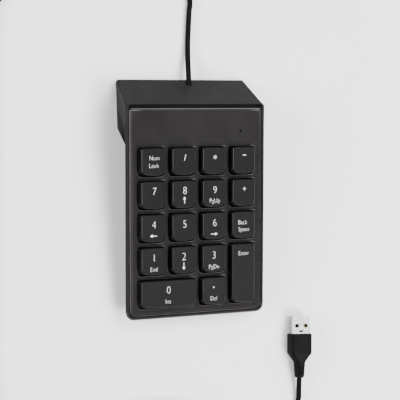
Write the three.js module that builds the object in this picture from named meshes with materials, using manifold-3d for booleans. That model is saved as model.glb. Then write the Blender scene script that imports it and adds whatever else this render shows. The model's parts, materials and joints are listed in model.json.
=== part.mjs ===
// Wired 18-key numeric keypad: a thin keyboard deck on a case whose rear is a hollow hump that tilts the
// deck towards the user. Millimetres, +Z up, +X right, +Y rear, standing on its rubber feet at Z = 0.
// Most parts are drawn in the deck frame: X right, Y rear, Z along the deck's normal, 0 on the deck's face.
import * as THREE from 'three';
import { mergeVertices } from 'three/addons/utils/BufferGeometryUtils.js';
import Module from 'manifold-3d';

const wasm = await Module();
wasm.setup();

// ---- Driving dimensions -------------------------------------------------------------------------
const TILT = THREE.MathUtils.degToRad(6.4);   // deck slope on the desk
const PITCH = 19;                             // key spacing both ways
const KEY_RISE = 3.6;                         // key top above the deck at rest
const WALL = 1.6;                             // moulded wall thickness
const GAP = 0.3;                              // clearance between parts that rest on each other

const DECK = { half: 41.5, front: -50.6, rear: 68.7, frontRadius: 3.2, rearRadius: 1.2 };
const RIM = { half: 43.65, front: -52.7, rear: 70.9, top: -0.4, foot: -2.4 };
const POCKET = { half: 41.9, front: -51.0, rear: 70.8, floor: -1.9 };
const SLAB_BOTTOM = -9;
const HUMP = { half: 40.8, front: 55.2, rear: 84.4, frontZ: -21.3, rearZ: -24, topFront: 46.2, bevel: 0.8 };
const HUMP_WALL = 1.7;
const REAR_SLOPE = (HUMP.rear - RIM.rear) / (RIM.top - HUMP.rearZ);  // rear wall's run per unit of depth
const FOOT = { x: 30, front: -43, rear: 78, half: 6.5, deep: 3 };
const FOOT_HEIGHT = 1.5;                      // rubber showing under the hump's rear edge

const WINDOW = { half: 8.47, rear: 8.4, front: 8.4 };
const WELL_FLOOR = -3.6;                      // floor of the well that each key moves in
const WELL_BASE = -4.6;
const SLEEVE = { inner: 3.3, outer: 4.3, top: -0.6, sides: 8 };
const CAP = { half: 8.1, rear: 8.05, front: 8.05, topHalf: 6.98, topRear: 7.92, topFront: 7.2, skirt: -0.6 };
const CAP_WALL = 1.1;
const PLUNGER = { radius: 2.85, bottom: -2.8 };
const DOME = { foot: 3.1, crown: 1.7, top: -2.9, wall: 0.7, sides: 6 };
const MAT = { top: -5.4, bottom: -6.2, half: 38.2, front: -47.2, rear: 47.2 };
const SHEET = 0.2;                            // each plastic membrane
const BOARD = { top: -7.3, bottom: -8.6, half: 29, front: 52.8, rear: 66.4 };
const SCREW = { shank: 0.8, hole: 1.1, head: 1.9, recess: 2.3, seat: -7.8, tip: -3.2 };
const CASE_SCREWS = [[-19, 28.5], [19, 28.5], [-19, -9.5], [19, -9.5], [-34.5, 58], [34.5, 58]];
const CLAMP_SCREWS = [-11.5, 0, 11.5];        // X of the screws that clamp the membrane tail
const CLAMP_Y = 55.2;
const LED_AT = [27.9, 55.2];
const WIRE = 0.45;                            // radius of a stabiliser wire

const CORD = 1.6;                             // radius of the cord
const COIL = { x: -30, y: -145.2, radius: 17.4, turns: 4, layers: 2 };  // radius of the middle turn
const COIL_WIDTH = 2 * CORD * (COIL.turns + 1);   // across the turns of a layer
const COIL_HEIGHT = 2 * CORD * COIL.layers;
const CORD_EXIT = [3.3, 66.7, 5.3];           // centre of the grommet's mouth, in the whole part's frame
const LEAD_ROUTE = [[3.3, 67.3, 5.3], [3.4, 71.5, 5.2], [3.8, 77, 4.3], [4.5, 84, 2.7], [5.2, 91, 1.8],
  [6.1, 101, 1.7], [7, 110, 1.7], [7.8, 118, 1.7], [5.6, 125, 1.7], [-1.5, 128, 1.7], [-14, 127, 1.7],
  [-45, 123.5, 1.7], [-85, 120.6, 1.7], [-102, 118.5, 1.7], [-110.6, 111.5, 1.7], [-112.4, 100, 1.7],
  [-114.5, 55, 1.7], [-116.5, 5, 1.7], [-119, -50, 1.7], [-121, -98, 1.7], [-118, -109, 1.7],
  [-108, -115.4, 1.7], [-85, -117.2, 1.7], [-62, -119.5, 1.7], [-41.9, -121.4, 1.7]];
const TAIL_ROUTE = [[-18.1, -121.4, 4.9], [-8, -122, 3.7], [4, -124.2, 2.2], [22, -129, 1.7],
  [45, -135.5, 1.7], [57, -137.6, 1.7], [65.4, -133.8, 1.7], [68.6, -126, 1.9], [68.8, -119, 2.9],
  [68.85, -114, 3.7], [68.92, -111.6, 4]];
const INNER_CORD = 1.1;                       // the lead without its jacket, inside the hump, deck frame
const INNER_ROUTE = [[6.4, 71.8, -15.5], [7, 69.5, -9], [7, 67.6, -5.9], [7, 65.4, -5]];
const PLUG = { x: 68.93, y: -111.2, z: 4, turn: THREE.MathUtils.degToRad(-3.1) };
const SHELL = { width: 12, height: 4.5, length: 10.9, wall: 0.32 };
const OVERMOULD = { length: 26.1, width: 14.7, height: 8 };

// ---- Colours ------------------------------------------------------------------------------------
const surface = (color, roughness, metalness = 0) =>
  new THREE.MeshStandardMaterial({ color, roughness, metalness });
const blackPlastic = surface('#3a3a3b', 0.55);
const keyPlastic = surface('#2f2f30', 0.5);
const rubber = surface('#1d1d1e', 0.8);
const silicone = surface('#c9ccca', 0.6);
const film = surface('#b9c4b4', 0.3);
const boardGreen = surface('#2c5a34', 0.45);
const epoxy = surface('#101010', 0.4);
const clearPlastic = surface('#d9e6dc', 0.15);
const steel = surface('#a9abad', 0.3, 1);
const nickel = surface('#cfd1d3', 0.2, 1);
const gold = surface('#c9a24a', 0.25, 1);
const whiteNylon = surface('#e4e3de', 0.5);

// ---- Shape helpers ------------------------------------------------------------------------------
// Outline of a rectangle with a radius of its own at the front and the rear corners, counter-clockwise from
// above, from the front left. `bulge` pushes the middle of the front edge out.
function outline({ left, right, front, rear, frontRadius, rearRadius, bulge = 0, steps = 2 }) {
  const corners = [
    [left + frontRadius, front + frontRadius, frontRadius, Math.PI],
    [right - frontRadius, front + frontRadius, frontRadius, 1.5 * Math.PI],
    [right - rearRadius, rear - rearRadius, rearRadius, 0],
    [left + rearRadius, rear - rearRadius, rearRadius, 0.5 * Math.PI],
  ];
  const points = [];
  corners.forEach(([cx, cy, radius, start], index) => {
    for (let k = 0; k <= steps; k++) {
      const angle = start + (k / steps) * Math.PI / 2;
      points.push(new THREE.Vector2(cx + radius * Math.cos(angle), cy + radius * Math.sin(angle)));
    }
    if (index === 0 && bulge > 0) points.push(new THREE.Vector2((left + right) / 2, front - bulge));
  });
  return points;
}

// Closed solid through convex sections listed from the bottom up. A section is [outline, height], and the
// height is a number or a function of the point, which makes a sloping section.
function loft(...sections) {
  const count = sections[0][0].length;
  const positions = [];
  for (const [points, height] of sections) {
    for (const p of points) positions.push(p.x, p.y, typeof height === 'function' ? height(p) : height);
  }
  const index = [];
  for (let s = 0; s + 1 < sections.length; s++) {
    for (let k = 0; k < count; k++) {
      const a = s * count + k, b = s * count + (k + 1) % count;
      index.push(a, b, b + count, a, b + count, a + count);
    }
  }
  const last = (sections.length - 1) * count;
  for (let k = 1; k + 1 < count; k++) {
    index.push(0, k + 1, k);
    index.push(last, last + k, last + k + 1);
  }
  const geometry = new THREE.BufferGeometry();
  geometry.setAttribute('position', new THREE.Float32BufferAttribute(positions, 3));
  geometry.setIndex(index);
  return geometry;
}

const block = (x0, x1, y0, y1, z0, z1) => new THREE.BoxGeometry(x1 - x0, y1 - y0, z1 - z0)
  .translate((x0 + x1) / 2, (y0 + y1) / 2, (z0 + z1) / 2);

const post = (x, y, z0, z1, radius, sides = 10, topRadius = radius) =>
  new THREE.CylinderGeometry(topRadius, radius, z1 - z0, sides).rotateX(Math.PI / 2)
    .translate(x, y, (z0 + z1) / 2);

function solid(geometry) {
  const plain = geometry.clone();
  plain.deleteAttribute('normal');
  plain.deleteAttribute('uv');
  const merged = mergeVertices(plain, 1e-5);
  return new wasm.Manifold(new wasm.Mesh({
    numProp: 3,
    vertProperties: new Float32Array(merged.attributes.position.array),
    triVerts: new Uint32Array(merged.index.array),
  }));
}

function combine(base, added = [], removed = []) {
  let result = solid(base);
  for (const geometry of added) result = result.add(solid(geometry));
  for (const geometry of removed) result = result.subtract(solid(geometry));
  const mesh = result.getMesh();
  const geometry = new THREE.BufferGeometry();
  geometry.setAttribute('position', new THREE.Float32BufferAttribute(Array.from(mesh.vertProperties), 3));
  geometry.setIndex(Array.from(mesh.triVerts));
  return geometry;
}

function part(name, geometry, material) {
  const mesh = new THREE.Mesh(geometry, material);
  mesh.name = name;
  return mesh;
}

// Height of the desk below a point of the deck, in the deck frame.
const deskBelow = (y) => HUMP.rearZ - FOOT_HEIGHT + (HUMP.rear - y) * Math.tan(TILT);

// ---- Keys ---------------------------------------------------------------------------------------
// Each key: name, centre, and how many pitches it spans each way.
const KEYS = [
  ['key_num_lock', -1.5, 2], ['key_divide', -0.5, 2], ['key_multiply', 0.5, 2], ['key_minus', 1.5, 2],
  ['key_7', -1.5, 1], ['key_8', -0.5, 1], ['key_9', 0.5, 1], ['key_plus', 1.5, 1],
  ['key_4', -1.5, 0], ['key_5', -0.5, 0], ['key_6', 0.5, 0], ['key_backspace', 1.5, 0],
  ['key_1', -1.5, -1], ['key_2', -0.5, -1], ['key_3', 0.5, -1], ['key_enter', 1.5, -1.5, 1, 2],
  ['key_0', -1, -2, 2, 1], ['key_decimal', 0.5, -2],
].map(([name, column, row, wide = 1, tall = 1]) => ({
  name, x: column * PITCH, y: row * PITCH, spanX: (wide - 1) * PITCH / 2, spanY: (tall - 1) * PITCH / 2,
}));

const around = (key, half, front, rear, frontRadius, rearRadius, bulge, steps) => outline({
  left: key.x - key.spanX - half, right: key.x + key.spanX + half,
  front: key.y - key.spanY - front, rear: key.y + key.spanY + rear, frontRadius, rearRadius, bulge, steps,
});

// Where the stabiliser wire of a long key runs: the bar under the key, and the pivots beside it on the well.
const WIRE_ARM = 8;                            // run from pivot to bar
const WIRE_RISE = { bar: 0.6, pivot: -2.4 };
const WIRE_REACH = 12.5;                       // half the bar's length

function keycap(key) {
  const straightFront = key.spanX > 0;
  const bulge = straightFront ? 0.2 : 0.45;
  const skirt = around(key, CAP.half, CAP.front - bulge, CAP.rear, 2.6, 1, bulge);
  const shoulder = around(key, CAP.topHalf, CAP.topFront, CAP.topRear, 2.8, 1, bulge);
  const crown = around(key, CAP.topHalf - 0.5, CAP.topFront - 0.5, CAP.topRear - 0.5, 2.5, 0.8, bulge);
  const body = loft([skirt, CAP.skirt], [shoulder, KEY_RISE - 0.5], [crown, KEY_RISE]);
  const inner = (half, front, rear) =>
    around(key, half - CAP_WALL, front - bulge - CAP_WALL, rear - CAP_WALL, 1.6, 0.6, bulge, 1);
  const hollow = loft([inner(CAP.half, CAP.front, CAP.rear), CAP.skirt - 1],
    [inner(CAP.topHalf + 0.2, CAP.topFront + 0.4, CAP.topRear), KEY_RISE - 1.4]);
  const stem = post(key.x, key.y, PLUNGER.bottom, KEY_RISE - 1, PLUNGER.radius, SLEEVE.sides);
  const cap = combine(body, [], [hollow]);
  return part(key.name, combine(cap, [stem, ...wireHooks(key)]), keyPlastic);
}

// Hooks under a long key that carry the bar of its wire: a leg from the ceiling and a toe under the bar.
function wireHooks(key) {
  const ceiling = KEY_RISE - 1, bar = WIRE_RISE.bar, toe = bar - WIRE - 0.25;
  const legs = [-8, 8].map((along) => [
    [along - 1, along + 1, -1.7, -0.8, toe - 0.6, ceiling],
    [along - 1, along + 1, -1.7, 1.1, toe - 0.6, toe],
  ]).flat();
  return wireFrame(key, legs);
}

// Boxes given along and across a long key's wire bar, placed on the key: none for a key of one pitch.
function wireFrame(key, boxes) {
  if (key.spanX > 0) {
    const y = key.y + WIRE_ARM / 2 + 0.8;
    return boxes.map(([a0, a1, b0, b1, z0, z1]) => block(key.x + a0, key.x + a1, y + b0, y + b1, z0, z1));
  }
  if (key.spanY > 0) {
    const x = key.x - WIRE_ARM / 2 - 0.8;
    return boxes.map(([a0, a1, b0, b1, z0, z1]) => block(x - b1, x - b0, key.y + a0, key.y + a1, z0, z1));
  }
  return [];
}

// A bent wire: the bar, an arm at each end down to the pivots, and the pivot ends turned outwards.
function stabiliser(name, key) {
  const ends = [];
  for (const side of [-1, 1]) {
    ends.push([side * WIRE_REACH, 0, WIRE_RISE.bar], [side * WIRE_REACH, -WIRE_ARM, WIRE_RISE.pivot],
      [side * (WIRE_REACH + 2), -WIRE_ARM, WIRE_RISE.pivot]);
  }
  const [barA, kneeA, tipA, barB, kneeB, tipB] = ends.map((p) => onWire(key, p));
  const rods = [[tipA, kneeA], [kneeA, barA], [barA, barB], [barB, kneeB], [kneeB, tipB]].map(rod);
  const joints = [kneeA, barA, barB, kneeB].map((p) =>
    new THREE.IcosahedronGeometry(WIRE * 1.05).translate(...p));
  return part(name, combine(rods[0], [...rods.slice(1), ...joints]), steel);
}

function onWire(key, [along, across, z]) {
  if (key.spanX > 0) return new THREE.Vector3(key.x + along, key.y + WIRE_ARM / 2 + 0.8 + across, z);
  return new THREE.Vector3(key.x - WIRE_ARM / 2 - 0.8 - across, key.y + along, z);
}

function rod([from, to]) {
  const axis = to.clone().sub(from);
  const along = new THREE.Vector3(0, 1, 0);
  const turn = new THREE.Quaternion().setFromUnitVectors(along, axis.clone().normalize());
  return new THREE.CylinderGeometry(WIRE, WIRE, axis.length(), 6).applyQuaternion(turn)
    .translate(...from.clone().add(to).multiplyScalar(0.5));
}

// ---- Case ---------------------------------------------------------------------------------------
const deckOutline = (inset = 0) => outline({
  left: inset - DECK.half, right: DECK.half - inset, front: DECK.front + inset, rear: DECK.rear - inset,
  frontRadius: DECK.frontRadius - inset, rearRadius: DECK.rearRadius - inset / 2, steps: 4,
});

function topCover() {
  const plate = loft([deckOutline(), -WALL], [deckOutline(), -0.45], [deckOutline(0.4), 0]);
  const wells = caseOutline(38.4, -47.7, 48, 4.5, 1);
  const grid = loft([wells, WELL_BASE], [wells, -WALL / 2]);
  const sleeves = KEYS.map((key) =>
    post(key.x, key.y, WELL_FLOOR - 0.4, SLEEVE.top, SLEEVE.outer, SLEEVE.sides));
  const posts = [
    ...CASE_SCREWS.map(([x, y]) => post(x, y, y > 50 ? -4.7 : -6.9, -WALL / 2, 2.1, 8)),
    ...CLAMP_SCREWS.map((x) => post(x, CLAMP_Y, WELL_BASE, -WALL / 2, 2.1, 8)),
  ];
  const windows = KEYS.map((key) => {
    const edge = around(key, WINDOW.half, WINDOW.front, WINDOW.rear, 2.9, 1.2, 0);
    return loft([edge, WELL_FLOOR], [edge, 1]);
  });
  const bores = [
    ...KEYS.map((key) => post(key.x, key.y, -9, 1, SLEEVE.inner, SLEEVE.sides)),
    ...CASE_SCREWS.map(([x, y]) => post(x, y, -9, -2.6, SCREW.hole, 8)),
    ...CLAMP_SCREWS.map((x) => post(x, CLAMP_Y, -9, -2.4, SCREW.hole, 8)),
    post(LED_AT[0], LED_AT[1], -9, 1, 0.75, 8),
  ];
  const shell = combine(combine(plate, [grid]), [], windows);
  const clips = KEYS.flatMap((key) => pivotClips(key));
  return part('top_cover', combine(shell, [...sleeves, ...posts, ...clips], bores), blackPlastic);
}

// Saddles on the well's floor that hold the pivot ends of a stabiliser wire: two cheeks around each end.
function pivotClips(key) {
  const cheeks = [-1, 1].flatMap((side) => [-1, 1].map((cheek) => {
    const along = side * (WIRE_REACH + 1.3), across = -WIRE_ARM + cheek * (WIRE + 0.25 + 0.4);
    return [along - 0.6, along + 0.6, across - 0.4, across + 0.4, WELL_FLOOR - 0.4, WIRE_RISE.pivot + 0.7];
  }));
  return wireFrame(key, cheeks);
}

const caseOutline = (half, front, rear, frontRadius = 5, rearRadius = 2) =>
  outline({ left: -half, right: half, front, rear, frontRadius, rearRadius, steps: 4 });

const humpSlope = (rise) => (p) => rise + HUMP.frontZ
  + (p.y - HUMP.front) / (HUMP.rear - HUMP.front) * (HUMP.rearZ - HUMP.frontZ);

function bottomCover() {
  const rimRear = (z) => RIM.rear + (RIM.top - z) * REAR_SLOPE;
  const rim = loft([caseOutline(RIM.half, RIM.front, rimRear(RIM.foot)), RIM.foot],
    [caseOutline(RIM.half, RIM.front, rimRear(RIM.top)), RIM.top]);
  const slab = loft([caseOutline(39.6, -48.6, 60), SLAB_BOTTOM],
    [caseOutline(RIM.half - 0.4, RIM.front + 0.4, 66), RIM.foot + 0.2]);
  const { half, front, rear, bevel } = HUMP;
  const hump = loft([caseOutline(half - bevel, front + bevel, rear - bevel, 1.5, 1.5), humpSlope(0)],
    [caseOutline(half, front, rear, 2, 2), humpSlope(bevel)],
    [caseOutline(RIM.half - 0.4, HUMP.topFront, rimRear(RIM.foot), 2, 2), RIM.foot]);
  const seat = loft([caseOutline(POCKET.half, POCKET.front, POCKET.rear, 3.6, 1.6), POCKET.floor],
    [caseOutline(POCKET.half, POCKET.front, POCKET.rear, 3.6, 1.6), 1]);
  const slabRoom = loft([caseOutline(38.6, -47.6, 58, 4, 2), SLAB_BOTTOM + 1.8],
    [caseOutline(40.3, -49.4, 64, 4, 2), POCKET.floor + 0.5]);
  const humpRoom = loft(
    [caseOutline(HUMP.half - HUMP_WALL, HUMP.front + 2, HUMP.rear - 2.6, 1.5, 1.5), humpSlope(HUMP_WALL)],
    [caseOutline(40.3, HUMP.topFront + 3, 67, 1.5, 1.5), POCKET.floor + 0.5]);
  const columns = CASE_SCREWS.filter(([, y]) => y > 50).map(([x, y]) => post(x, y, -21, -5, 3.4, 8));
  const screwHoles = CASE_SCREWS.flatMap(([x, y]) => [
    post(x, y, -30, 0, SCREW.hole, 8), post(x, y, -30, SCREW.seat, SCREW.recess, 8),
  ]);
  const cordHole = new THREE.CylinderGeometry(2.5, 2.5, 12, 10).applyMatrix4(cordAxis(-4));
  const hollow = combine(combine(rim, [slab, hump]), [], [slabRoom, humpRoom, seat]);
  return part('bottom_cover', combine(hollow, columns, [...screwHoles, cordHole]), blackPlastic);
}

// Places a Y-axis piece on the cord's line, `out` mm beyond the rear wall's face, in the deck frame.
function cordAxis(out) {
  const place = new THREE.Matrix4().makeTranslation(CORD_EXIT[0], CORD_EXIT[1] + out, CORD_EXIT[2]);
  return new THREE.Matrix4().copy(deckPlace).invert().multiply(place);
}

function foot(name, x, y, underside) {
  const edge = outline({
    left: x - FOOT.half, right: x + FOOT.half, front: y - FOOT.deep, rear: y + FOOT.deep,
    frontRadius: 2.8, rearRadius: 2.8, steps: 3,
  });
  return part(name, loft([edge, (p) => deskBelow(p.y)], [edge, underside]), rubber);
}

function screw(name, x, y, seat, tip) {
  const shank = post(x, y, seat - 0.5, tip, SCREW.shank, 8);
  return part(name, combine(post(x, y, seat - GAP - 1.2, seat - GAP, SCREW.head, 10), [shank]), steel);
}

// ---- Switch layers ------------------------------------------------------------------------------
const postHoles = (radius) => CASE_SCREWS.filter(([, y]) => y < 50)
  .map(([x, y]) => post(x, y, -9, 0, radius, 8));

// A flat sheet of the size of the key field.
function layer(z0, z1) {
  const edge = caseOutline(MAT.half, MAT.front, MAT.rear, 4.5, 1);
  return loft([edge, z0], [edge, z1]);
}

function domeMat() {
  const sheet = layer(MAT.bottom, MAT.top);
  const domes = KEYS.map((key) =>
    post(key.x, key.y, MAT.top - 0.4, DOME.top, DOME.foot, DOME.sides, DOME.crown));
  const pocketTop = DOME.top - DOME.wall;
  const pockets = KEYS.map((key) =>
    post(key.x, key.y, MAT.bottom - 0.5, pocketTop, DOME.foot - 0.6, DOME.sides, DOME.crown - 0.6));
  return part('dome_mat', combine(sheet, domes, [...pockets, ...postHoles(2.6)]), silicone);
}

function membrane(name, top, removed, tail) {
  const sheet = layer(top - SHEET, top);
  return part(name, combine(sheet, tail, [...postHoles(2.6), ...removed]), film);
}

function switchLayers() {
  const tailTop = MAT.bottom - 0.1 - 2 * (SHEET + 0.1);
  const contactHoles = KEYS.map((key) => post(key.x, key.y, -9, 0, 2.2, 6));
  const tail = block(-9, 9, MAT.rear - 1, 57.2, tailTop - SHEET, tailTop);
  return [
    domeMat(),
    membrane('upper_membrane', MAT.bottom - 0.1, [], []),
    membrane('membrane_spacer', MAT.bottom - 0.2 - SHEET, contactHoles, []),
    membrane('lower_membrane', tailTop, [post(0, CLAMP_Y, -9, 0, 1.4, 8)], [tail]),
  ];
}

// ---- Electronics --------------------------------------------------------------------------------
function electronics() {
  const [ledX, ledY] = LED_AT;
  const screwBores = (radius) => CLAMP_SCREWS.map((x) => post(x, CLAMP_Y, -12, 0, radius, 8));
  const board = combine(block(-BOARD.half, BOARD.half, BOARD.front, BOARD.rear, BOARD.bottom, BOARD.top),
    [], screwBores(1.3));
  const bar = combine(block(-14, 14, CLAMP_Y - 1.9, CLAMP_Y + 1.9, -6.7, -4.8), [], screwBores(1.1));
  const onBoard = BOARD.top + 0.1;
  const blob = new THREE.LatheGeometry([[0, 0], [5, 0], [4.6, 0.7], [3.2, 1.4], [0, 1.8]]
    .map(([r, z]) => new THREE.Vector2(r, z)), 12).rotateX(Math.PI / 2).translate(-17, 60.6, onBoard);
  const atLed = (z0, z1, radius) => post(ledX, ledY, z0, z1, radius, 10);
  const led = combine(atLed(onBoard, onBoard + 0.8, 1.8), [atLed(onBoard, -3.9, 1.5)]);
  const pipe = combine(atLed(-3.6, -1.9, 1.3), [atLed(-3, -0.35, 0.5)]);
  const header = combine(block(2, 12, 60.6, 64.8, onBoard, -3), [], [block(3, 11, 64, 66, -6.4, -3.6)]);
  return [
    part('controller_board', board, boardGreen),
    part('controller_chip', blob, epoxy),
    part('membrane_clamp_bar', bar, whiteNylon),
    part('num_lock_led', led, clearPlastic),
    part('led_light_pipe', pipe, clearPlastic),
    part('capacitor', post(-25, 62, onBoard, -2.6, 2, 10), surface('#1f3358', 0.35)),
    part('cable_header', header, whiteNylon),
    ...CLAMP_SCREWS.map((x, k) => screw(`clamp_screw_${k + 1}`, x, CLAMP_Y, BOARD.bottom, -2.8)),
  ];
}

// ---- Cord ---------------------------------------------------------------------------------------
function tube(points, radius, steps, sides = 8) {
  const section = new THREE.Shape(Array.from({ length: sides }, (_, k) => new THREE.Vector2(
    radius * Math.cos(2 * Math.PI * k / sides), radius * Math.sin(2 * Math.PI * k / sides))));
  const path = new THREE.CatmullRomCurve3(points.map((p) => new THREE.Vector3(...p)));
  return new THREE.ExtrudeGeometry(section, { steps, bevelEnabled: false, extrudePath: path });
}

function grommet() {
  const body = new THREE.CylinderGeometry(2.1, 2.1, 6, 10).translate(0, -3 + 0.3, 0);
  return part('cord_grommet', body.applyMatrix4(cordAxis(0)), rubber);
}

function innerLead() {
  const start = new THREE.Vector3(0, -6.1, 0).applyMatrix4(cordAxis(0));
  const before = new THREE.Vector3(0, -10, 0).applyMatrix4(cordAxis(0));
  const route = [start.toArray(), before.toArray(), ...INNER_ROUTE];
  return part('inner_lead', tube(route, INNER_CORD, 12), rubber);
}

function coil() {
  const inner = COIL.radius - COIL_WIDTH / 2, outer = COIL.radius + COIL_WIDTH / 2;
  const profile = [[inner, 1], [inner + 1, 0], [outer - 1, 0], [outer, 1], [outer, COIL_HEIGHT - 1],
    [outer - 1, COIL_HEIGHT], [inner + 1, COIL_HEIGHT], [inner, COIL_HEIGHT - 1], [inner, 1]];
  const ring = new THREE.LatheGeometry(profile.map(([r, z]) => new THREE.Vector2(r, z)), 24)
    .rotateX(Math.PI / 2).translate(COIL.x, COIL.y, 0.05);
  return part('cord_coil', ring, rubber);
}

// The tie is a band that is wrapped round the coil's bundle on the side away from the keypad.
function coilTie() {
  const half = COIL_WIDTH / 2 + GAP, y = COIL.y - COIL.radius, top = COIL_HEIGHT + GAP + 0.1;
  const band = block(COIL.x - 2, COIL.x + 2, y - half - 0.8, y + half + 0.8, 0.02, top + 1);
  const hole = block(COIL.x - 3, COIL.x + 3, y - half, y + half, -1, top);
  return part('coil_tie', combine(band, [], [hole]), rubber);
}

// The plug's parts are drawn from the cord's end forward: +Y is the way the plug points.
function plugParts() {
  const { length, width, height } = OVERMOULD;
  const head = loftY([8.6, 3.5, 3.2], [13.5, width / 2, height / 2], [length - 0.6, width / 2, height / 2],
    [length, width / 2 - 0.5, height / 2 - 0.5]);
  const neck = loftY([0, 2.8, 2.8], [8.8, 3.45, 3.2]);
  const shellStart = length - 6, shellEnd = length + SHELL.length;
  const half = SHELL.width / 2, tall = SHELL.height / 2, inside = SHELL.wall;
  const socket = block(-half - GAP, half + GAP, shellStart - GAP, length + 1, -tall - GAP, tall + GAP);
  const holes = [-2.95, 2.95].map((x) => block(x - 1.2, x + 1.2, shellEnd - 7, shellEnd - 5, 0, 5));
  const shell = combine(block(-half, half, shellStart, shellEnd, -tall, tall), [], [
    block(inside - half, half - inside, shellStart + 1, shellEnd + 1, inside - tall, tall - inside),
    ...holes,
  ]);
  const tongueTop = -tall + SHELL.wall + GAP + 1.8;
  const tongue = block(-5.3, 5.3, shellStart + 1 + GAP, shellEnd - 0.8, tongueTop - 1.8, tongueTop);
  const contacts = [-3.5, -1, 1, 3.5].map((x, k) => {
    const tip = shellEnd - (k % 3 ? 2.2 : 1.4);   // the two inner contacts are shorter
    const strip = block(x - 0.5, x + 0.5, length - 3, tip, tongueTop + 0.1, tongueTop + 0.25);
    return part(`plug_contact_${k + 1}`, strip, gold);
  });
  const plug = new THREE.Group();
  plug.position.set(PLUG.x, PLUG.y, PLUG.z);
  plug.rotation.z = PLUG.turn;
  const overmould = combine(combine(head, [neck]), [], [socket]);
  plug.add(part('plug_overmould', overmould, rubber), part('plug_shell', shell, nickel),
    part('plug_tongue', tongue, whiteNylon), ...contacts);
  return plug;
}

// Solid through rounded sections across Y: each is [y, half width, half height].
function loftY(...sections) {
  const sides = sections.map(([y, w, h]) => {
    const radius = Math.min(w, h) * 0.55;
    const size = { left: -w, right: w, front: -h, rear: h };
    const edge = outline({ ...size, frontRadius: radius, rearRadius: radius });
    return [edge, -y];
  }).reverse();
  return loft(...sides).rotateX(Math.PI / 2);
}

// ---- Assembly -----------------------------------------------------------------------------------
// The tilted deck frame stands so that the feet meet Z = 0, and so that the keypad is centred on the origin.
const rearBottom = HUMP.rear * Math.cos(TILT) - (HUMP.rearZ + HUMP.bevel) * Math.sin(TILT);
const frontTip = RIM.front * Math.cos(TILT) - RIM.top * Math.sin(TILT);
const deck = new THREE.Group();
deck.rotation.x = TILT;
deck.position.set(0, -(rearBottom + frontTip) / 2,
  (FOOT_HEIGHT - HUMP.rearZ) * Math.cos(TILT) - HUMP.rear * Math.sin(TILT));
deck.updateMatrixWorld(true);
const deckPlace = deck.matrixWorld;

const keyNamed = (name) => KEYS.find((key) => key.name === name);
const underHump = (y) => humpSlope(-GAP)({ y });
deck.add(
  topCover(), bottomCover(), ...KEYS.map(keycap),
  stabiliser('zero_stabiliser', keyNamed('key_0')), stabiliser('enter_stabiliser', keyNamed('key_enter')),
  ...switchLayers(), ...electronics(), grommet(), innerLead(),
  ...CASE_SCREWS.map(([x, y], k) => screw(`case_screw_${k + 1}`, x, y, SCREW.seat, SCREW.tip)),
  ...[['left', -FOOT.x], ['right', FOOT.x]].flatMap(([side, x]) => [
    foot(`foot_front_${side}`, x, FOOT.front, SLAB_BOTTOM - GAP),
    foot(`foot_rear_${side}`, x, FOOT.rear, (p) => underHump(p.y)),
  ]),
);

const keypad = new THREE.Group();
keypad.add(deck, part('cord_lead', tube(LEAD_ROUTE, CORD, 62), rubber), coil(), coilTie(),
  part('cord_tail', tube(TAIL_ROUTE, CORD, 16), rubber), plugParts());

export default keypad;
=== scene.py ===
"""Looks of the wired 18-key numeric keypad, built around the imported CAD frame.

Shapes are drawn in millimetres and become metres when a mesh is made. Most of them are drawn in the
deck frame: X right, Y rearwards up the slope, Z along the deck's normal, 0 on the deck's face.
"""
import json
import math

import bmesh
import bpy
from mathutils import Matrix, Vector
from mathutils.geometry import delaunay_2d_cdt


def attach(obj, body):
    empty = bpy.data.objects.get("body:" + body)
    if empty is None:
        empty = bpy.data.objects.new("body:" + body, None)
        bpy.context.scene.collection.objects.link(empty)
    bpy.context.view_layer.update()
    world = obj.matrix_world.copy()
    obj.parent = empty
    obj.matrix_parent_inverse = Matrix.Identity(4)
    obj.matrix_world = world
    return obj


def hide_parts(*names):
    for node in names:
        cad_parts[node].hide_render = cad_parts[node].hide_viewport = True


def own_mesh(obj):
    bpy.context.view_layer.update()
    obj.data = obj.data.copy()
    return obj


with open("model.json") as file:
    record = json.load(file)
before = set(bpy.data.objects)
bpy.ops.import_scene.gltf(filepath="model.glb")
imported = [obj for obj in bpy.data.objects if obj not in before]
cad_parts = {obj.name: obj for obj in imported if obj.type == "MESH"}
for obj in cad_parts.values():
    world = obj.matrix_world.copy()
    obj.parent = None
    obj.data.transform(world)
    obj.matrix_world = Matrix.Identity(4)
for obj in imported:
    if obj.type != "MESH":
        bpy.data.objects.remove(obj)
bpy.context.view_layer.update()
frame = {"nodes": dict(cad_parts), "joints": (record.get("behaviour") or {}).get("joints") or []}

MM = 0.001

# ---- Driving dimensions, mm ----
PITCH = 19.0
KEY_RISE = 3.6                 # key top above the deck
DISH = 0.14                    # depth of a key's hollow top
DECK = dict(half=41.5, front=-50.6, rear=68.7, thick=1.6, front_radius=3.4, rear_radius=1.0)
KEY_FIELD = dict(half=38.4, front=-47.7, rear=48.0, radius=4.5)   # the well under the deck
RIM = dict(half=43.65, front=-52.7, rear=70.9, top=-0.4, foot=-2.4)
POCKET = dict(half=41.9, front=-51.0, rear=70.8, floor=-1.9)
SLAB = dict(half=39.6, front=-48.6, rear=60.0, bottom=-9.0)
HUMP = dict(half=41.2, front=55.2, rear=84.9, front_z=-21.3, rear_z=-24.0, top_front=46.2)
REAR_SLOPE = (HUMP["rear"] - RIM["rear"]) / (RIM["top"] - HUMP["rear_z"])
WALL = 1.7
WINDOW = 8.45                  # half of a key's window
WINDOW_RADIUS = dict(front=2.9, rear=1.2)
WELL_FLOOR = -3.6
WELL_BASE = -4.6
CAP_BASE = dict(half=8.1, front=8.05, rear=8.05, z=-0.6)
CAP_TOP = dict(half=6.98, front=7.62, rear=7.94)
CAP_WALL = 1.1
CAP_ROOF = 1.4
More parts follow.
